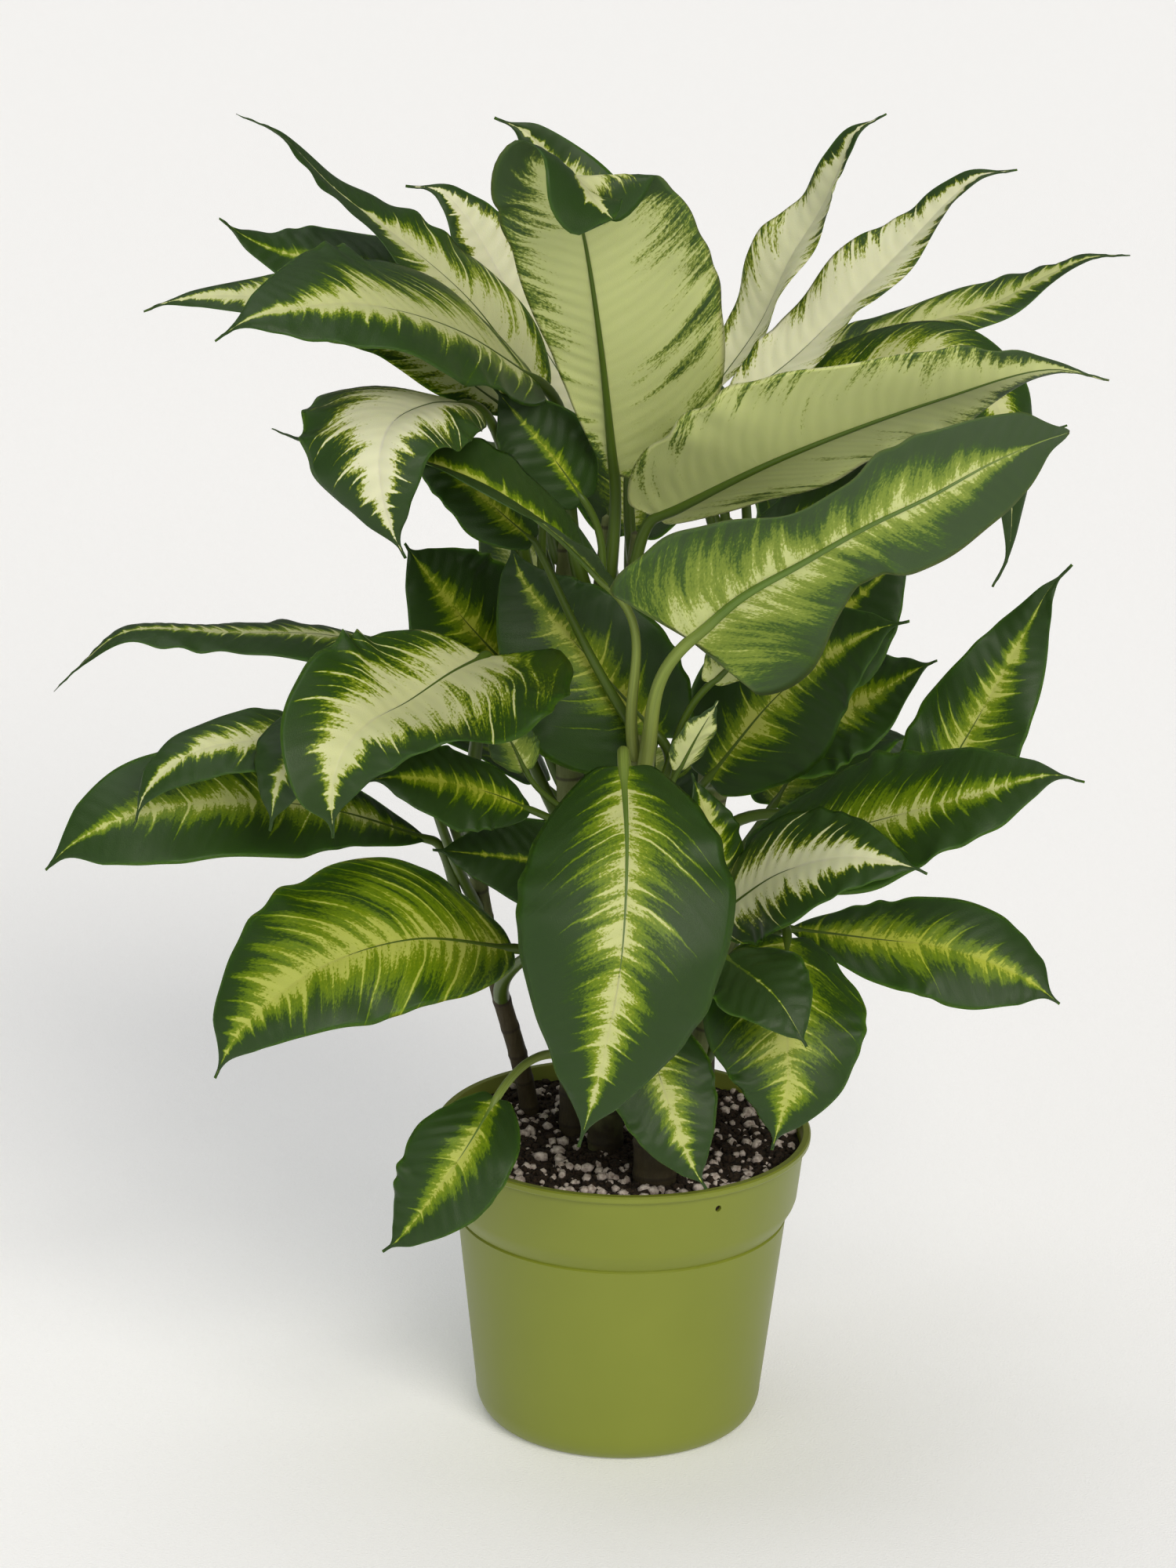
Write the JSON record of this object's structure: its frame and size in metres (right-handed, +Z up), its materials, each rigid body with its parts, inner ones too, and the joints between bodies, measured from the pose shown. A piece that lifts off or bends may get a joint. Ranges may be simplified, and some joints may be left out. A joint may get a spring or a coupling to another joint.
{
  "type": "potted plant",
  "caption": "Potted dieffenbachia with upright canes and broad variegated leaves, rooted in soil in a tapered plastic grower pot.",
  "frame": {"origin": "centre of the underside of the pot", "axes": "+Z up along the pot's axis and the canes; the pictured front looks toward -Y; +X to the right seen from the front"},
  "size_m": [0.4675, 0.3361, 0.6034],
  "materials": {
    "pot": "satin lime-green moulded plastic",
    "soil": "dull dark peat with pale perlite grains",
    "cane": "dull ringed stem",
    "leaf": "semi-gloss green with a cream to yellow-green centre"
  },
  "bodies": {
    "root": {"cane_back": "cane", "cane_front": "cane", "cane_left": "cane", "cane_middle": "cane", "cane_rear_left": "cane", "cane_rear_right": "cane", "cane_right": "cane", "leaf_behind_fold": "leaf", "leaf_crown_back": "leaf", "leaf_crown_front": "leaf", "leaf_crown_left_back": "leaf", "leaf_crown_left_broad": "leaf", "leaf_crown_left_far": "leaf", "leaf_crown_left_high": "leaf", "leaf_crown_left_low": "leaf", "leaf_crown_left_shade": "leaf", "leaf_crown_right_arch": "leaf", "leaf_crown_right_high": "leaf", "leaf_crown_right_slim": "leaf", "leaf_crown_right_tall": "leaf", "leaf_crown_right_under": "leaf", "leaf_front_centre": "leaf", "leaf_front_left_small": "leaf", "leaf_front_right_small": "leaf", "leaf_left_butterfly": "leaf", "leaf_left_hook": "leaf", "leaf_left_long": "leaf", "leaf_left_low_back": "leaf", "leaf_left_low_broad": "leaf", "leaf_left_low_long": "leaf", "leaf_left_low_slim": "leaf", "leaf_left_pale_small": "leaf", "leaf_left_under": "leaf", "leaf_middle_broad": "leaf", "leaf_middle_left_back": "leaf", "leaf_middle_left_fold": "leaf", "leaf_middle_left_hook": "leaf", "leaf_middle_left_shade": "leaf", "leaf_middle_right_under": "leaf", "leaf_rear_high": "leaf", "leaf_rear_left_out": "leaf", "leaf_rear_low": "leaf", "leaf_rear_low_left": "leaf", "leaf_rear_low_right": "leaf", "leaf_rear_right_out": "leaf", "leaf_right_behind": "leaf", "leaf_right_droop": "leaf", "leaf_right_hidden": "leaf", "leaf_right_inner": "leaf", "leaf_right_low_cream": "leaf", "leaf_right_low_far": "leaf", "leaf_right_low_long": "leaf", "leaf_right_middle": "leaf", "leaf_right_middle_back": "leaf", "leaf_right_pale": "leaf", "leaf_right_pale_small": "leaf", "leaf_right_small_blue": "leaf", "leaf_right_upright": "leaf", "pot": "pot", "soil": "soil"}
  },
  "joints": []
}
